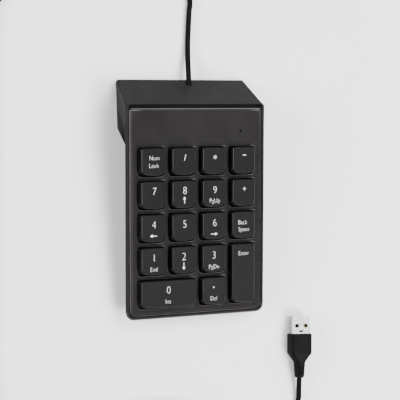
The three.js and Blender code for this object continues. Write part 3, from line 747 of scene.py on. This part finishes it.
# ---- Domes ----
def dome_sheet():
    """The silicone sheet under the keys, open under each dome and round the case's posts."""
    skin = Skin()
    lines = [outline(-MAT["half"], MAT["half"], MAT["front"], MAT["rear"], 4.5, 1.0)]
    lines += [circle(*key_place(name)[:2], DOME["foot"] + 0.02, 32) for name in KEYS]
    lines += [circle(x, y, MAT["post_hole"]) for x, y in CASE_SCREWS if y < MAT["rear"]]
    lower = [skin.ring(line, MAT["bottom"]) for line in lines]
    upper = [skin.ring(line, MAT["top"]) for line in lines]
    for low, high in zip(lower, upper):
        skin.wall(low, high)
    skin.fill(*lower)
    skin.fill(*upper)
    piece("dome_sheet", skin, MATERIALS["silicone"], ["dome_mat"])


def dome(name):
    """A hollow dome that springs its key back."""
    x, y, _, _ = key_place(name)
    foot, crown, wall = DOME["foot"], DOME["crown"], DOME["wall"]
    inner_top = DOME["top"] - wall
    skin = Skin()
    outer = [(foot, MAT["bottom"]), (foot, MAT["top"]), (foot - 0.35, MAT["top"] + 0.35),
             (crown + 0.2, DOME["top"] - 0.35), (crown, DOME["top"] - 0.1), (crown - 0.15, DOME["top"])]
    inner = [(crown - wall, inner_top), (foot - wall - 0.1, MAT["top"]), (foot - wall, MAT["bottom"])]
    out_rings, in_rings = skin.turned(x, y, outer, 32), skin.turned(x, y, inner, 32)
    skin.wall(*out_rings)
    skin.fan(out_rings[-1])
    skin.fan(in_rings[0])
    skin.wall(*in_rings, out_rings[0])
    obj = piece(f"{name}_dome", skin, MATERIALS["silicone"])
    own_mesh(obj)


# ---- Plug ----
def plug_ring(skin, y, width, height, radius):
    """A rounded section across the plug's length. The rings are drawn flat and stood up by their place."""
    line = outline(-width / 2, width / 2, -height / 2, height / 2, radius, radius, steps=8, along=3)
    return skin.ring(line, -y)


def overmould():
    skin = Skin()
    length, width, height = OVERMOULD["length"], OVERMOULD["width"], OVERMOULD["height"]
    # A tapered neck, then a straight shoulder up to the grip: place along it, width, height and corners.
    sections = [(-0.6, 4.3, 3.9, 1.9), (-0.5, 4.9, 4.4, 2.1), (-0.2, 5.45, 4.9, 2.3), (0.3, 5.85, 5.2, 2.4),
                (1.0, 6.05, 5.35, 2.45), (4.0, 6.4, 5.6, 2.5), (8.2, 6.95, 5.95, 2.6), (8.8, 7.15, 6.0, 2.6),
                (9.4, 7.7, 6.15, 2.6), (13.5, 13.5, 7.7, 2.4), (14.1, 14.25, 7.88, 2.4),
                (14.7, 14.6, 7.97, 2.4), (15.4, width, height, 2.4)]
    for y, less in ((length - 0.8, 0), (length - 0.35, 0.12), (length - 0.08, 0.45), (length, 0.9)):
        sections.append((y, width - less, height - less, 2.4 - less / 2))
    skin.solid(*[plug_ring(skin, *section) for section in sections])
    half, tall = SHELL["width"] / 2 + 0.05, SHELL["height"] / 2 + 0.05
    tools = [block(-half, half, -tall, tall, -length - 1, -length + 6.2)]
    # Slots are cut across the top and the underside of the neck.
    for y, shift in ((1.9, -0.5), (3.5, 0.5), (5.1, -0.5)):
        for low, high in ((-4, -2.0), (2.0, 4)):
            tools.append(block(shift - 2.0, shift + 2.0, low, high, -y - 0.75, -y))
    mesh = cut(mesh_of("overmould", skin), tools, "DIFFERENCE")
    return carved_piece("plug_body", mesh, UPRIGHT, MATERIALS["plug"], ["plug_overmould"])


def shell():
    """The plug's metal sleeve: folded sheet with a rolled mouth and two latch holes in its upper side."""
    start, end = OVERMOULD["length"] - 6, OVERMOULD["length"] + SHELL["length"]
    wide, tall, wall = SHELL["width"], SHELL["height"], SHELL["wall"]
    skin = Skin()
    profile = [(start, 0, 0.55), (end - 0.5, 0, 0.55), (end - 0.2, 0.08, 0.5), (end, 0.28, 0.4),
               (end - 0.02, 2 * wall - 0.06, 0.3), (end - 0.3, 2 * wall, 0.3), (start + 1, 2 * wall, 0.3)]
    rings = [plug_ring(skin, y, wide - less, tall - less, radius) for y, less, radius in profile]
    skin.wall(*rings)
    skin.fan(rings[0])
    skin.fan(rings[-1])
    tools = [block(x - 1.35, x + 1.35, 0, 4, -end + 4.9, -end + 7.1) for x in (-2.95, 2.95)]
    # The seam where the sheet's edges meet runs down the middle of the lower side.
    tools.append(block(-0.05, 0.05, -4, -tall / 2 + 0.15, -end - 1, -start + 1))
    mesh = cut(mesh_of("shell", skin), tools, "DIFFERENCE")
    return carved_piece("plug_sleeve", mesh, UPRIGHT, MATERIALS["nickel"], ["plug_shell"])


def shell_tab_painted_shade():
    """The dark half-moon near the sleeve's root: a thin dark plate of painted shade that stands for the shade
    in a pressed tab.
    """
    skin = Skin()
    middle, top = OVERMOULD["length"] + 2.3, SHELL["height"] / 2
    line = arc(0, middle, 1.5, 185, 355, 16)
    low, high = skin.ring(line, top - 0.05), skin.ring(line, top + 0.05)
    skin.wall(low, high)
    skin.fill(low)
    skin.fill(high)
    return piece("plug_tab_painted_shade", skin, MATERIALS["mark"], place=ON_PLUG)


def coil_tie():
    """A soft band wrapped round the coil's turns, with its end lying over it."""
    half = CORD_RADIUS * (COIL["turns"] + 1) + 0.45
    tall = CORD_RADIUS * 4 + 0.25
    middle = COIL["y"] - COIL["radius"]
    skin = Skin()
    rings = []
    for width, less in ((-1.9, 0.1), (-2.0, 0.3), (-2.0, 0.5), (-1.9, 0.7), (1.9, 0.7), (2.0, 0.5),
                        (2.0, 0.3), (1.9, 0.1)):
        bottom = 0.1 - 0.08 * (less - 0.1) / 0.6
        line = outline(middle - half - less, middle + half + less, bottom, tall + less, 1.2 + less / 2,
                       2.4 + less / 2)
        rings.append(skin.ring(line, width))
    skin.wall(*rings, rings[0])
    stand = Matrix(((0, 0, 1, COIL["x"]), (1, 0, 0, 0), (0, 1, 0, 0), (0, 0, 0, 1)))
    return piece("coil_band", skin, MATERIALS["rubber"], ["coil_tie"],
                 place=ON_DESK @ stand)


# ---- Materials ----
class Shader:
    """A Principled material whose colour, roughness and relief come from noises in object space."""

    def __init__(self, name, **sockets):
        self.material = bpy.data.materials.new(name)
        self.material.use_nodes = True
        self.nodes = self.material.node_tree.nodes
        self.main = self.nodes["Principled BSDF"]
        for socket, value in sockets.items():
            self.main.inputs[socket.replace("_", " ")].default_value = value
        self.place = self.add("ShaderNodeTexCoord").outputs["Object"]

    def add(self, kind, **settings):
        node = self.nodes.new(kind)
        for key, value in settings.items():
            setattr(node, key, value)
        return node

    def link(self, output, node, socket):
        self.material.node_tree.links.new(output, node.inputs[socket])

    def noise(self, size, detail, stretch=(1, 1, 1)):
        """Noise whose features are about `size` mm across, drawn out by `stretch`."""
        mapping = self.add("ShaderNodeMapping")
        mapping.inputs["Scale"].default_value = [1 / s for s in stretch]
        self.link(self.place, mapping, "Vector")
        node = self.add("ShaderNodeTexNoise")
        node.inputs["Scale"].default_value = 1 / (size * MM)
        node.inputs["Detail"].default_value = detail
        self.link(mapping.outputs["Vector"], node, "Vector")
        return node.outputs["Fac"]

    def cells(self, size):
        """How far it is to the edge of a cell, for cells about `size` mm across."""
        node = self.add("ShaderNodeTexVoronoi", feature="DISTANCE_TO_EDGE")
        node.inputs["Scale"].default_value = 1 / (size * MM)
        self.link(self.place, node, "Vector")
        return node.outputs["Distance"]

    def spread(self, source, low, high):
        """Turns a noise, which lies mostly from 0.3 to 0.7, into a number between low and high."""
        node = self.add("ShaderNodeMapRange")
        for socket, value in (("From Min", 0.3), ("From Max", 0.7), ("To Min", low), ("To Max", high)):
            node.inputs[socket].default_value = value
        self.link(source, node, "Value")
        return node.outputs["Result"]

    def tones(self, source, *colours, start=0.3, end=0.7):
        """Turns a noise into colours, spread evenly from start to end."""
        node = self.add("ShaderNodeValToRGB")
        ramp = node.color_ramp
        while len(ramp.elements) < len(colours):
            ramp.elements.new(0.5)
        for k, colour in enumerate(colours):
            ramp.elements[k].position = start + (end - start) * k / (len(colours) - 1)
            ramp.elements[k].color = (*colour, 1)
        self.link(source, node, "Fac")
        return node.outputs["Color"]

    def relief(self, *layers):
        """Bumps, each a source and its height in mm, one on top of the other."""
        normal = None
        for source, height in layers:
            bump = self.add("ShaderNodeBump")
            bump.inputs["Strength"].default_value = 1.0
            bump.inputs["Distance"].default_value = height * MM
            self.link(source, bump, "Height")
            if normal:
                self.link(normal, bump, "Normal")
            normal = bump.outputs["Normal"]
        self.link(normal, self.main, "Normal")

    def surface(self, colour=None, roughness=None):
        if colour:
            self.link(colour, self.main, "Base Color")
        if roughness:
            self.link(roughness, self.main, "Roughness")
        return self.material


def grey(value):
    return value, value, value


def moulded(name, tone, rough, grain, height, specular=0.5, tint=(1, 1, 1)):
    """Spark-eroded black plastic: fine grain and faint clouds of tone, tinted by shares of each colour."""
    shader = Shader(name, Specular_IOR_Level=specular, Specular_Tint=(*tint, 1))
    clouds = shader.noise(14, 3)
    shades = [[tone * (1 + change) * share for share in tint] for change in (-0.12, 0, 0.12)]
    colour = shader.tones(clouds, *shades)
    roughness = shader.spread(shader.noise(5, 4), rough - 0.02, rough + 0.02)
    shader.relief((shader.noise(grain, 2), height), (shader.noise(grain * 6, 1), height * 0.8))
    return shader.surface(colour, roughness)


def soft(name, tone, rough, specular=0.4, grain=0.25, height=0.01):
    """Rubber or soft PVC: fine pores, dusty patches."""
    shader = Shader(name, Specular_IOR_Level=specular)
    colour = shader.tones(shader.noise(6, 4), grey(tone * 0.8), grey(tone * 1.15))
    roughness = shader.spread(shader.noise(3, 3), rough - 0.06, rough + 0.06)
    shader.relief((shader.noise(grain, 3), height))
    return shader.surface(colour, roughness)


def metal(name, dark, light, rough, stretch=(1, 1, 1)):
    """Metal with a drawn or plated grain."""
    shader = Shader(name, Metallic=1.0)
    streaks = shader.noise(0.4, 3, stretch)
    colour = shader.tones(streaks, dark, light)
    roughness = shader.spread(shader.noise(2.5, 3), rough - 0.04, rough + 0.08)
    shader.relief((streaks, 0.002))
    return shader.surface(colour, roughness)


def printed(name):
    """White pad-printed ink, a little uneven in cover."""
    shader = Shader(name, Specular_IOR_Level=0.3)
    colour = shader.tones(shader.noise(0.35, 3), grey(INK * 0.86), grey(INK))
    roughness = shader.spread(shader.noise(0.6, 2), 0.5, 0.65)
    shader.relief((shader.noise(0.12, 2), 0.002))
    return shader.surface(colour, roughness)


def circuit(name):
    """Solder mask over copper: lighter where a track lies under it."""
    shader = Shader(name, Coat_Weight=0.3, Coat_Roughness=0.2)
    tracks = shader.cells(2.2)
    colour = shader.tones(tracks, (0.03, 0.16, 0.05), (0.012, 0.07, 0.022), start=0.06, end=0.1)
    roughness = shader.spread(shader.noise(3, 2), 0.32, 0.45)
    shader.relief((tracks, 0.03))
    return shader.surface(colour, roughness)


def clear(name, tint, rough, transmission):
    """Moulded film or silicone: lets some light through."""
    shader = Shader(name, Transmission_Weight=transmission, IOR=1.45)
    colour = shader.tones(shader.noise(8, 3), tuple(c * 0.9 for c in tint), tint)
    roughness = shader.spread(shader.noise(1.5, 3), rough - 0.05, rough + 0.08)
    shader.relief((shader.noise(0.5, 2), 0.004))
    return shader.surface(colour, roughness)


def paper(name):
    """Matt, pale studio sweep."""
    shader = Shader(name, Specular_IOR_Level=0.2)
    colour = shader.tones(shader.noise(90, 3), grey(0.88), grey(0.9))
    return shader.surface(colour, shader.spread(shader.noise(40, 2), 0.85, 0.95))


INK = 0.8
CASE_TINT = (1.05, 0.97, 1.03)
MATERIALS = {
    "case": moulded("case plastic", 0.0125, 0.45, 0.28, 0.012, specular=0.02, tint=CASE_TINT),
    "key": moulded("key plastic", 0.003, 0.46, 0.22, 0.009, specular=0.075, tint=(1.02, 0.985, 1.05)),
    "case edge": moulded("case plastic edge", 0.012, 0.33, 0.28, 0.006, specular=0.65, tint=CASE_TINT),
    # The keys' edge material is lighter in colour than the key plastic: painted highlight on the rounded
    # edges, with a glossier finish.
    "key edge gloss and painted highlight": moulded("key plastic edge with painted highlight", 0.006, 0.34, 0.22, 0.005, specular=0.3),
    "ink": printed("key ink"),
    "jacket": soft("cord jacket", 0.006, 0.5, 0.0, 0.3, 0.006),
    "plug": soft("plug overmould", 0.0035, 0.55, 0.04, 0.35, 0.014),
    "rubber": soft("rubber", 0.006, 0.7, 0.02),
    # Painted shade: the dark plate on the plug's sleeve, where a pressed tab would lie in shade.
    "mark": soft("sleeve tab shadow", 0.003, 0.7, 0.02),
    "nickel": metal("nickel plate", (0.3, 0.305, 0.31), (0.39, 0.395, 0.4), 0.24, (1, 12, 1)),
    "steel": metal("screw steel", (0.3, 0.31, 0.32), (0.45, 0.46, 0.47), 0.32),
    "wire": metal("drawn wire", (0.42, 0.43, 0.44), (0.6, 0.6, 0.6), 0.22, (10, 1, 1)),
    # The contacts' gold is far darker than plated gold: painted shade for contacts that lie in shadow inside
    # the sleeve.
    "gold": metal("contact gold darkened as painted shade", (0.16, 0.1, 0.03), (0.24, 0.16, 0.06), 0.3, (1, 8, 1)),
    "silicone": clear("dome silicone", (0.6, 0.62, 0.6), 0.5, 0.3),
    "film": clear("polyester film", (0.55, 0.62, 0.55), 0.3, 0.5),
    "lens": soft("smoked lens", 0.002, 0.6, 0.03),
    "board": circuit("circuit board"),
    "epoxy": soft("epoxy blob", 0.008, 0.35, 0.5, 0.8, 0.02),
    "insert": soft("black nylon", 0.003, 0.6, 0.1),
    "nylon": soft("white nylon", 0.72, 0.45, 0.4, 0.5, 0.006),
    "foil": soft("capacitor sleeve", 0.03, 0.3, 0.5),
}

# The CAD nodes that are shown as they are, and their finish.
CAD_FINISH = {
    "upper_membrane": "film", "membrane_spacer": "film", "lower_membrane": "film",
    "controller_board": "board", "controller_chip": "epoxy", "membrane_clamp_bar": "nylon",
    "num_lock_led": "lens", "led_light_pipe": "lens", "capacitor": "foil", "cable_header": "nylon",
    "inner_lead": "jacket", "plug_tongue": "insert", "zero_stabiliser": "wire", "enter_stabiliser": "wire",
    **{f"clamp_screw_{k}": "steel" for k in (1, 2, 3)},
    **{f"plug_contact_{k}": "gold" for k in (1, 2, 3, 4)},
}


# ---- Studio ----
def softbox(name, size, power, place):
    """A panel of light that faces the keypad."""
    data = bpy.data.lights.new(name, "AREA")
    data.shape = "RECTANGLE"
    data.size, data.size_y = size
    data.energy = power
    obj = bpy.data.objects.new(name, data)
    obj.location = place
    obj.rotation_euler = (-Vector(place)).to_track_quat("-Z", "Y").to_euler()
    obj.visible_camera = False
    bpy.context.scene.collection.objects.link(obj)


def studio():
    mesh = bpy.data.meshes.new("floor")
    mesh.from_pydata([(-4, -4, 0), (4, -4, 0), (4, 4, 0), (-4, 4, 0)], [], [(0, 1, 2, 3)])
    mesh.materials.append(paper("pale sweep"))
    floor = bpy.data.objects.new("floor", mesh)
    bpy.context.scene.collection.objects.link(floor)
    world = bpy.data.worlds.new("studio")
    world.use_nodes = True
    background = world.node_tree.nodes["Background"]
    background.inputs["Color"].default_value = (1, 1, 1, 1)
    background.inputs["Strength"].default_value = 0.25
    bpy.context.scene.world = world
    softbox("front right softbox", (0.8, 0.8), 45, (0.65, -0.9, 1.1))
    softbox("rear right softbox", (1.6, 1.6), 60, (0.8, 0.6, 1.2))
    softbox("left card", (0.9, 0.4), 34, (-1.25, 0.1, 0.55))


# ---- Assembly ----
camera()
flex = cord()
overmould()
shell()
shell_tab_painted_shade()
coil_tie()
grommet()
top_cover()
bottom_cover()
feet()
screws()
dome_sheet()
for key in KEYS:
    keycap(key)
    legend(key)
    dome(key)
for node, finish in CAD_FINISH.items():
    mesh = frame["nodes"][node].data
    mesh.materials.clear()
    mesh.materials.append(MATERIALS[finish])
studio()
